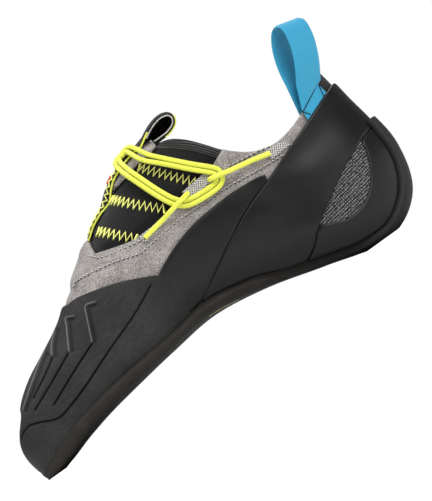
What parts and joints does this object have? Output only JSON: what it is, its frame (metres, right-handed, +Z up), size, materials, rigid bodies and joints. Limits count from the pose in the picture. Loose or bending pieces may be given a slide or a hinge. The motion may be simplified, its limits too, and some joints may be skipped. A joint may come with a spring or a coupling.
{
  "type": "climbing shoe",
  "caption": "Downturned climbing shoe with a rubber sole and toe, a tension band round the heel, a suede upper, an elastic tongue, an instep strap with cord rings and a pull loop.",
  "frame": {"origin": "middle of the shoe's box, on the floor under the sole", "axes": "+Z up from the floor, +X towards the heel (the toe points to -X), -Y is the inner side of the foot, the side that the picture shows"},
  "size_m": [0.244, 0.0938, 0.1178],
  "materials": {
    "suede": "brushed suede",
    "board": "pressed fibre",
    "sole_rubber": "matt moulded",
    "rand_rubber": "satin moulded",
    "mesh_cloth": "open weave",
    "elastic": "knitted",
    "strap_webbing": "woven",
    "cord": "braided",
    "blue_webbing": "woven"
  },
  "bodies": {
    "root": {"upper": "suede", "strap_saddle": "suede", "insole": "board", "outsole": "sole_rubber", "toe_rubber": "rand_rubber", "rand_inner": "rand_rubber", "rand_outer": "rand_rubber", "tension_band": "rand_rubber", "heel_rand_inner": "rand_rubber", "heel_rand_outer": "rand_rubber", "heel_mesh_inner": "mesh_cloth", "heel_mesh_outer": "mesh_cloth", "tongue": "elastic", "collar_elastic": "elastic", "strap": "strap_webbing", "lace_ring_inner_a": "cord", "lace_ring_inner_b": "cord", "lace_ring_outer_a": "cord", "lace_ring_outer_b": "cord", "lace_anchor_inner_front": "cord", "lace_anchor_inner_rear": "cord", "lace_anchor_outer_front": "cord", "lace_anchor_outer_rear": "cord", "pull_loop": "blue_webbing"}
  },
  "joints": []
}
